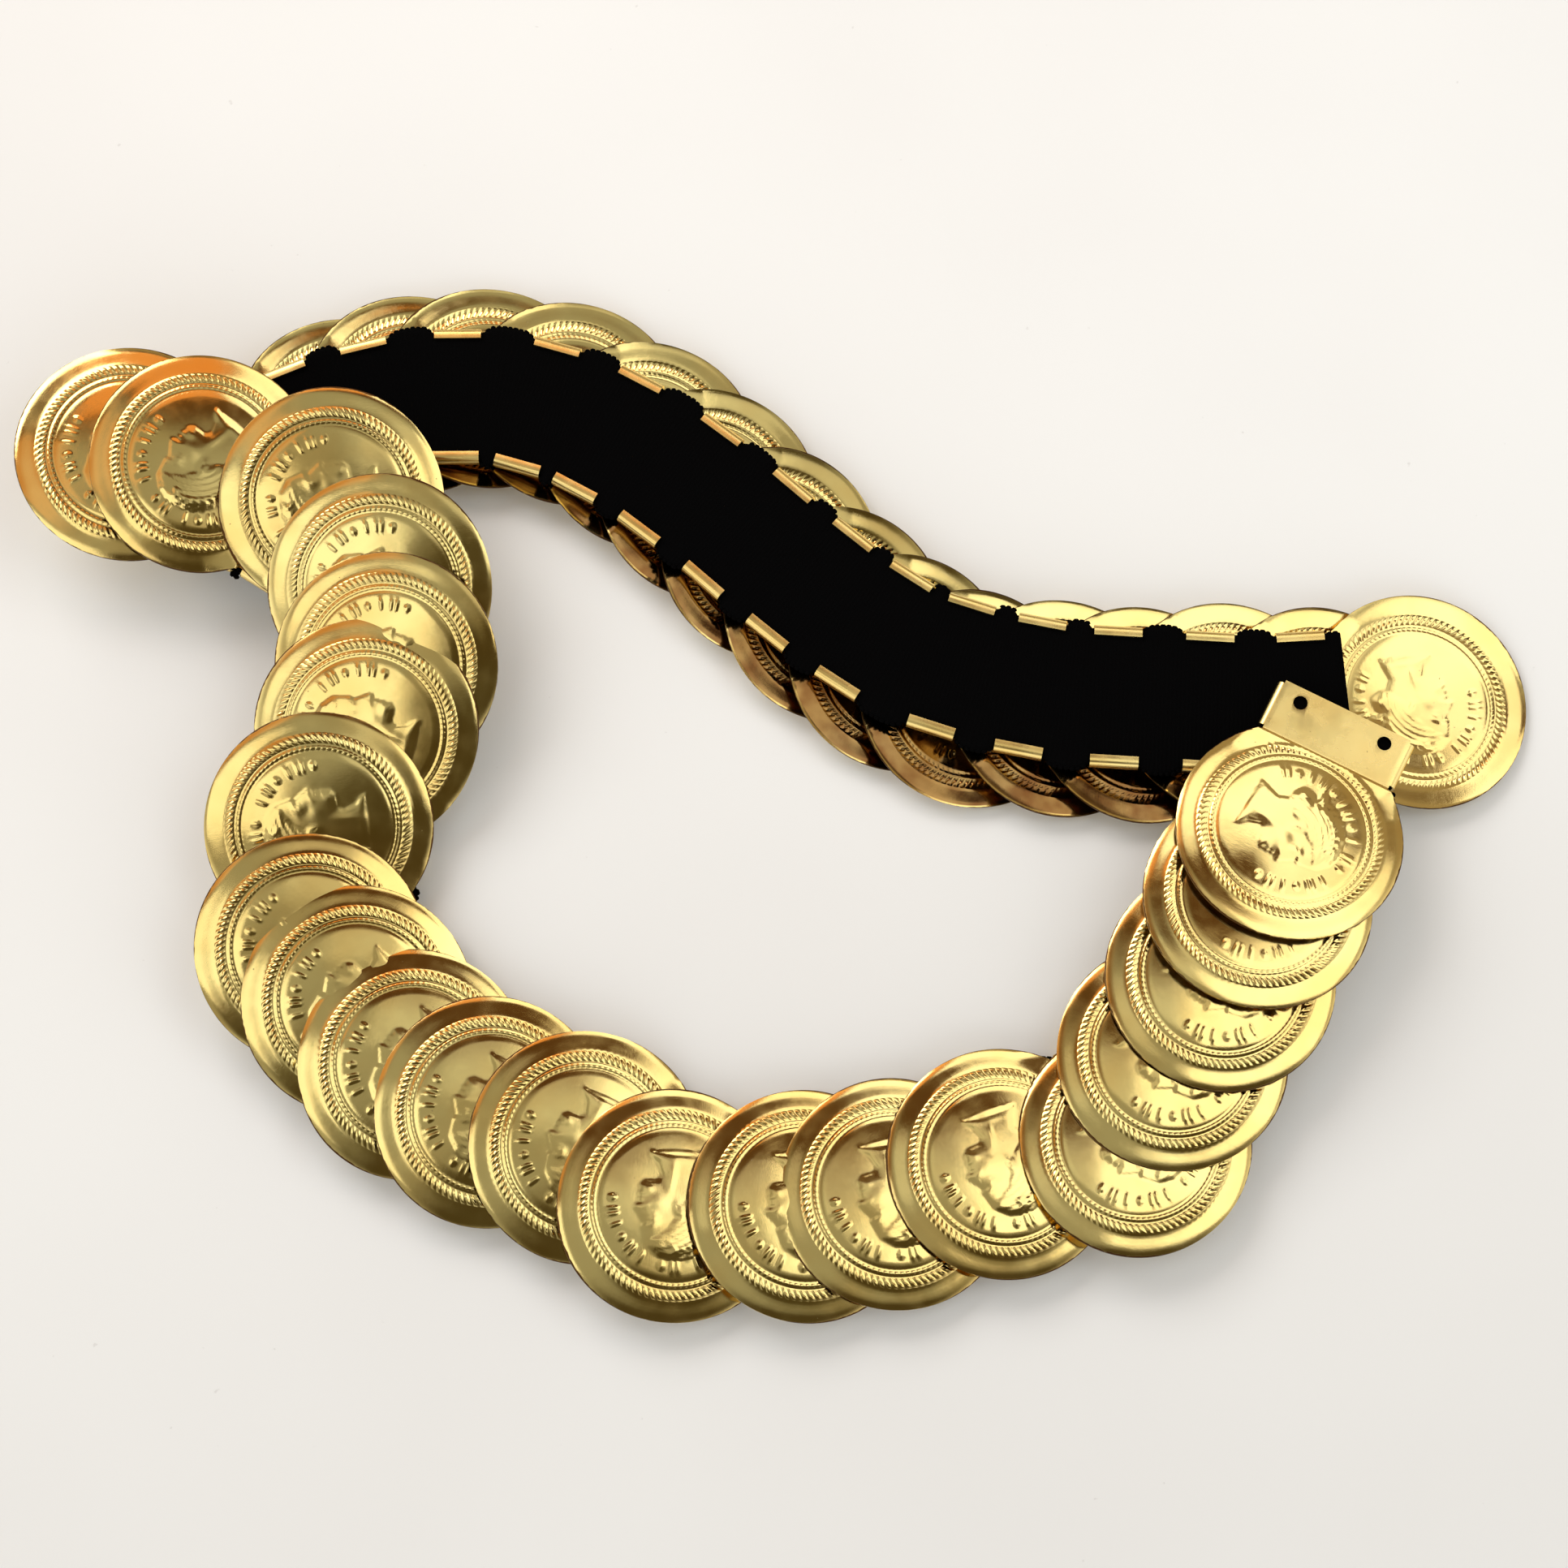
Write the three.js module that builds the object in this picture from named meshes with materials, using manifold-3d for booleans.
// Medallion belt: 36 stamped gold-tone medallions clipped along one band of black ribbed elastic.
// It lies dropped on a surface: the first 21 medallions face up in a wide loop, the band then folds
// over, and the last 15 lie face down with the band's back showing. All sizes are millimetres, +Z up.
import * as THREE from 'three';
import * as BufferGeometryUtils from 'three/addons/utils/BufferGeometryUtils.js';
import Module from 'manifold-3d';

const wasm = await Module();
wasm.setup();

// The stamped medallion: a domed disc with a flat clip plate in front of it, cut from one sheet.
const SHEET = 0.4;
const DISC_RADIUS = 20.5;
const DISC_SEGMENTS = 20;
const DOME_RADIUS = 14.8;
const DOME_RISE = 1.0;
const DISC_TO_PLATE = 21.4;
const PLATE_BACK = -5.2;
const PLATE_FRONT = 5.0;
const ROOT_LENGTH = 1.2;
const ROOT_STEP = 0.9;
const ROOT_LAP = 1.6;
const ROOT_WIDTH = 24.4;
const PLATE_CORNER = 12.6;

// The clip: two side walls and two lips that curl under the band.
const CLIP_WIDTH = 27.0;
const LIP_REACH = 2.2;
const LIP_LENGTH = 8.8;
const CLEARANCE = 0.3;
const END_HOLE_DIAMETER = 2.6;
const END_HOLE_SPACING = 16.6;
const END_HOLE_SETBACK = 2.7;

// The elastic band.
const BAND_THICKNESS = 1.2;
const BAND_WIDTH = CLIP_WIDTH - 2 * (SHEET + CLEARANCE);
const BUMP_WIDTH = 27.8;
const GRIP_HALF = LIP_LENGTH / 2 + CLEARANCE;
const BAND_TAIL = 7.5;

// Heights of the band's middle above the surface.
const LOW = BAND_THICKNESS / 2 + CLEARANCE + SHEET;
const TURNED = 7.45;
const TURNED_LIFT = 8.5;
const CROSSING = TURNED + 2 * LOW + 0.4;

// The fold: the band runs past medallion 21, turns under along a slanting crease and comes back.
const FOLD_RUN = 12.0;
const FOLD_HEADING = 26.5;
const FOLD_STEPS = 6;

// The lie of the belt. Each row is one medallion, from the first end: how far on the next one sits,
// how far the band turns on the way (degrees, left is positive), how high the band runs, and how
// far the disc is bent up from its plate (degrees), so that it clears the disc that it lies on.
const START = { x: 99.7, y: 6.1, heading: 242.5 };
const FACE_UP = [
  { pitch: 13.0, turn: 0.5, height: CROSSING, lift: 9.5 },
  { pitch: 15.2, turn: 0.5, height: CROSSING, lift: 9.5 },
  { pitch: 16.2, turn: -3.5, height: 8.9, lift: 9.5 },
  { pitch: 16.2, turn: 3, height: 6.7, lift: 10.5 },
  { pitch: 19.3, turn: -37, height: 4.5, lift: 11.5 },
  { pitch: 19.6, turn: -6.5, height: 2.7, lift: 10.5 },
  { pitch: 15.9, turn: -6.5, height: 1.7, lift: 9.5 },
  { pitch: 22.7, turn: -9, height: LOW + 0.05, lift: 9.5 },
  { pitch: 16.9, turn: -22.5, height: LOW, lift: 9.5 },
  { pitch: 17.8, turn: -1, height: LOW, lift: 9.5 },
  { pitch: 16.0, turn: -6.5, height: LOW, lift: 9.5 },
  { pitch: 14.9, turn: -11.5, height: LOW, lift: 10 },
  { pitch: 12.7, turn: -4.5, height: LOW + 0.1, lift: 11.5 },
  { pitch: 18.6, turn: -33.5, height: 1.8, lift: 12.5 },
  { pitch: 17.1, turn: -24.5, height: 2.6, lift: 13.5 },
  { pitch: 12.6, turn: -3, height: 3.8, lift: 12.5 },
  { pitch: 14.0, turn: 9.5, height: 5.2, lift: 13 },
  { pitch: 17.1, turn: 20.5, height: 7.1, lift: 13 },
  { pitch: 20.0, turn: 41, height: 9.3, lift: 12 },
  { pitch: 13.4, turn: 11, height: CROSSING, lift: 11 },
  { pitch: 0, turn: 0, height: CROSSING, lift: 9.5 },
];
const FACE_DOWN = [
  { pitch: 13.2, turn: -3 },
  { pitch: 13.9, turn: -9 },
  { pitch: 14.9, turn: -14 },
  { pitch: 15.4, turn: -17 },
  { pitch: 14.4, turn: -12.5 },
  { pitch: 16.4, turn: -9 },
  { pitch: 16.5, turn: -4 },
  { pitch: 15.2, turn: 2 },
  { pitch: 14.7, turn: 6 },
  { pitch: 15.6, turn: 15.5 },
  { pitch: 14.8, turn: 7 },
  { pitch: 15.7, turn: 8 },
  { pitch: 16.8, turn: 0 },
  { pitch: 18.0, turn: 7 },
  { pitch: 0, turn: 0 },
];

const UP = new THREE.Vector3(0, 0, 1);
const radians = THREE.MathUtils.degToRad;

function direction(degrees) {
  return new THREE.Vector3(Math.cos(radians(degrees)), Math.sin(radians(degrees)), 0);
}

// A medallion's place: its point on the band, the way the band runs on, and which way it faces.
function placeOnBand(point, heading, slope, lift, faceUp) {
  const onward = direction(heading).multiplyScalar(Math.cos(slope));
  onward.z = Math.sin(slope);
  const forward = onward.clone().negate();
  const side = new THREE.Vector3().crossVectors(UP, forward).normalize();
  if (!faceUp) side.negate();
  const face = new THREE.Vector3().crossVectors(forward, side);
  return { point, forward, side, face, lift };
}

// Walks a run of rows from a starting point and heading.
function walkRows(rows, start, faceUp) {
  const points = [start.point.clone()];
  const headings = [start.heading];
  rows.slice(0, -1).forEach((row, i) => {
    const step = direction(headings[i] + row.turn / 2).multiplyScalar(row.pitch);
    points.push(points[i].clone().add(step));
    headings.push(headings[i] + row.turn);
  });
  points.forEach((point, i) => {
    point.z = rows[i].height ?? TURNED;
  });
  return points.map((point, i) => {
    const inner = i > 0 && i < rows.length - 1;
    const run = inner ? rows[i - 1].pitch + rows[i].pitch : 1;
    const rise = inner ? points[i + 1].z - points[i - 1].z : 0;
    const lift = rows[i].lift ?? TURNED_LIFT;
    return placeOnBand(point, headings[i], Math.atan2(rise, run), lift, faceUp);
  });
}

const startPoint = new THREE.Vector3(START.x, START.y, 0);
const facingUp = walkRows(FACE_UP, { point: startPoint, heading: START.heading }, true);
const lastUp = facingUp[facingUp.length - 1];
const lastHeading = START.heading + FACE_UP.reduce((sum, row) => sum + row.turn, 0);
const creaseMiddle = lastUp.point.clone().addScaledVector(direction(lastHeading), FOLD_RUN);
const turnedStart = creaseMiddle.clone().addScaledVector(direction(FOLD_HEADING), FOLD_RUN);
const facingDown = walkRows(FACE_DOWN, { point: turnedStart, heading: FOLD_HEADING }, false);
const places = [...facingUp, ...facingDown];

function toManifold(geometry) {
  const bare = geometry.clone();
  bare.deleteAttribute('normal');
  bare.deleteAttribute('uv');
  const merged = BufferGeometryUtils.mergeVertices(bare, 1e-4);
  return new wasm.Manifold(new wasm.Mesh({
    numProp: 3,
    vertProperties: new Float32Array(merged.attributes.position.array),
    triVerts: new Uint32Array(merged.index.array),
  }));
}

function fromManifold(solid) {
  const mesh = solid.getMesh();
  const geometry = new THREE.BufferGeometry();
  geometry.setAttribute('position', new THREE.BufferAttribute(mesh.vertProperties.slice(), 3));
  geometry.setIndex(new THREE.BufferAttribute(mesh.triVerts.slice(), 1));
  geometry.computeVertexNormals();
  return geometry;
}

// A flat outline given as [a, b] pairs, extruded along a third direction and centred on it.
function slab(outline, depth) {
  const shape = new THREE.Shape(outline.map(([a, b]) => new THREE.Vector2(a, b)));
  const geometry = new THREE.ExtrudeGeometry(shape, { depth, bevelEnabled: false });
  return geometry.translate(0, 0, -depth / 2);
}

// The domed disc: a shell turned about its own axis, cut straight where the clip plate starts.
function discSolid(lift) {
  const half = SHEET / 2;
  const profile = [
    [0, DOME_RISE - half],
    [DOME_RADIUS, -half],
    [DISC_RADIUS, -half],
    [DISC_RADIUS, half],
    [DOME_RADIUS, half],
    [0, DOME_RISE + half],
  ].map(([r, z]) => new THREE.Vector2(r, z));
  const shell = new THREE.LatheGeometry(profile, DISC_SEGMENTS).rotateX(Math.PI / 2);
  const chord = DISC_TO_PLATE + PLATE_BACK - ROOT_LENGTH;
  const cutter = new THREE.BoxGeometry(DISC_RADIUS, 3 * DISC_RADIUS, 3 * DISC_RADIUS);
  cutter.translate(chord + DISC_RADIUS / 2, 0, 0);
  const disc = fromManifold(toManifold(shell).subtract(toManifold(cutter)));
  disc.translate(-chord, 0, 0);
  disc.rotateY(radians(lift));
  return disc;
}

// The whole medallion in its own frame: the origin is on the band under the middle of the plate,
// +X is forward, away from the disc, and +Z is the stamped face.
function medallionGeometry(lift, endHoles) {
  const under = BAND_THICKNESS / 2 + CLEARANCE;
  const over = under + SHEET;
  const wall = CLIP_WIDTH / 2;
  const rootBack = PLATE_BACK - ROOT_LENGTH;
  const disc = discSolid(lift).translate(rootBack, 0, under + SHEET / 2 + ROOT_STEP);
  const lapBack = rootBack - ROOT_LAP;
  const lapRise = ROOT_STEP + ROOT_LAP * Math.tan(radians(lift));
  const rootOutline = [
    [PLATE_BACK + ROOT_LAP, under],
    [PLATE_BACK + ROOT_LAP, over],
    [PLATE_BACK, over],
    [rootBack, over + ROOT_STEP],
    [lapBack, over + lapRise],
    [lapBack, under + lapRise],
    [rootBack, under + ROOT_STEP],
    [PLATE_BACK, under],
  ];
  const root = slab(rootOutline, ROOT_WIDTH).rotateX(Math.PI / 2);
  const plateOutline = [
    [PLATE_BACK, -PLATE_CORNER],
    [PLATE_FRONT, -PLATE_CORNER],
    [PLATE_FRONT, PLATE_CORNER],
    [PLATE_BACK, PLATE_CORNER],
  ];
  const plate = slab(plateOutline, SHEET).translate(0, 0, under + SHEET / 2);
  const clipOutline = [
    [wall - LIP_REACH, -over],
    [wall, -over],
    [wall, over],
    [-wall, over],
    [-wall, -over],
    [LIP_REACH - wall, -over],
    [LIP_REACH - wall, -under],
    [SHEET - wall, -under],
    [SHEET - wall, under],
    [wall - SHEET, under],
    [wall - SHEET, -under],
    [wall - LIP_REACH, -under],
  ];
  const clip = slab(clipOutline, LIP_LENGTH).rotateX(Math.PI / 2).rotateZ(Math.PI / 2);
  let solid = toManifold(disc).add(toManifold(root)).add(toManifold(plate)).add(toManifold(clip));
  if (endHoles) {
    for (const side of [-1, 1]) {
      const drill = new THREE.CylinderGeometry(
        END_HOLE_DIAMETER / 2, END_HOLE_DIAMETER / 2, 4 * SHEET, 12,
      ).rotateX(Math.PI / 2);
      drill.translate(PLATE_FRONT - END_HOLE_SETBACK, side * END_HOLE_SPACING / 2, under);
      solid = solid.subtract(toManifold(drill));
    }
  }
  return fromManifold(solid);
}

// One section across the band: its left and right edge points and the way the band faces there.
function bandSection(middle, side, face, width) {
  return {
    left: middle.clone().addScaledVector(side, width / 2),
    right: middle.clone().addScaledVector(side, -width / 2),
    face: face.clone(),
  };
}

// The band between two clips: it runs off each clip straight and bulges out at the middle.
function bumpSection(from, to) {
  const a = from.point.clone().addScaledVector(from.forward, -GRIP_HALF);
  const b = to.point.clone().addScaledVector(to.forward, GRIP_HALF);
  const reach = a.distanceTo(b) * 0.35;
  const curve = new THREE.CubicBezierCurve3(
    a,
    a.clone().addScaledVector(from.forward, -reach),
    b.clone().addScaledVector(to.forward, reach),
    b,
  );
  const side = from.side.clone().add(to.side).normalize();
  const face = from.face.clone().add(to.face).normalize();
  return bandSection(curve.getPoint(0.5), side, face, BUMP_WIDTH);
}

// The fold: sections laid along the crease, carried round half a turn of it.
function foldSections(from, to) {
  const radius = (from.point.z - to.point.z) / 2;
  const crease = direction((lastHeading + FOLD_HEADING) / 2);
  const outward = new THREE.Vector3().crossVectors(crease, UP);
  if (outward.dot(direction(lastHeading)) < 0) outward.negate();
  const slant = Math.abs(crease.dot(from.side));
  const halfLength = BAND_WIDTH / 2 / slant;
  const along = crease.clone().multiplyScalar(Math.sign(crease.dot(from.side)) * halfLength);
  const axis = creaseMiddle.clone();
  axis.z = from.point.z - radius;
  axis.addScaledVector(outward, -Math.PI * radius / 4);
  const sections = [];
  for (let i = 0; i <= FOLD_STEPS; i += 1) {
    const angle = Math.PI * i / FOLD_STEPS;
    const face = UP.clone().multiplyScalar(Math.cos(angle));
    face.addScaledVector(outward, Math.sin(angle));
    const middle = axis.clone().addScaledVector(face, radius);
    sections.push({
      left: middle.clone().add(along),
      right: middle.clone().sub(along),
      face,
    });
  }
  return sections;
}

// The band is one closed strip of sections, each a flat rectangle as thick as the elastic.
function bandGeometry() {
  const sections = [];
  places.forEach((place, i) => {
    const gripped = (reach) => {
      const middle = place.point.clone().addScaledVector(place.forward, reach);
      return bandSection(middle, place.side, place.face, BAND_WIDTH);
    };
    sections.push(gripped(GRIP_HALF));
    sections.push(gripped(-GRIP_HALF));
    const next = places[i + 1];
    if (!next) sections.push(gripped(-BAND_TAIL));
    else if (i === facingUp.length - 1) sections.push(...foldSections(place, next));
    else sections.push(bumpSection(place, next));
  });
  const corners = [];
  const half = BAND_THICKNESS / 2;
  for (const { left, right, face } of sections) {
    corners.push(left.clone().addScaledVector(face, half));
    corners.push(left.clone().addScaledVector(face, -half));
    corners.push(right.clone().addScaledVector(face, -half));
    corners.push(right.clone().addScaledVector(face, half));
  }
  const faces = [];
  for (let i = 0; i < sections.length - 1; i += 1) {
    for (let j = 0; j < 4; j += 1) {
      const a = 4 * i + j;
      const b = 4 * i + (j + 1) % 4;
      faces.push(a, b, b + 4, a, b + 4, a + 4);
    }
  }
  const end = 4 * (sections.length - 1);
  faces.push(0, 2, 1, 0, 3, 2);
  faces.push(end, end + 1, end + 2, end, end + 2, end + 3);
  const geometry = new THREE.BufferGeometry().setFromPoints(corners);
  geometry.setIndex(faces);
  geometry.computeVertexNormals();
  return geometry;
}

const gold = new THREE.MeshStandardMaterial({ color: 0xd9b866, roughness: 0.22, metalness: 1 });
const elastic = new THREE.MeshStandardMaterial({ color: 0x0b0b0d, roughness: 0.95, metalness: 0 });

function addBand(group) {
  const band = new THREE.Mesh(bandGeometry(), elastic);
  band.name = 'elastic_band';
  group.add(band);
}

function addMedallions(group) {
  places.forEach((place, i) => {
    const medallion = new THREE.Mesh(medallionGeometry(place.lift, i === 0), gold);
    medallion.name = `medallion_${String(i + 1).padStart(2, '0')}`;
    const basis = new THREE.Matrix4().makeBasis(place.forward, place.side, place.face);
    medallion.quaternion.setFromRotationMatrix(basis);
    medallion.position.copy(place.point);
    group.add(medallion);
  });
}

// The belt stands on z = 0 with its box centred over the origin.
function medallionBelt() {
  const lay = new THREE.Group();
  addBand(lay);
  addMedallions(lay);
  const box = new THREE.Box3().setFromObject(lay, true);
  const middle = box.getCenter(new THREE.Vector3());
  lay.position.set(-middle.x, -middle.y, -box.min.z);
  const belt = new THREE.Group();
  belt.add(lay);
  belt.updateMatrixWorld(true);
  return belt;
}

export default medallionBelt();
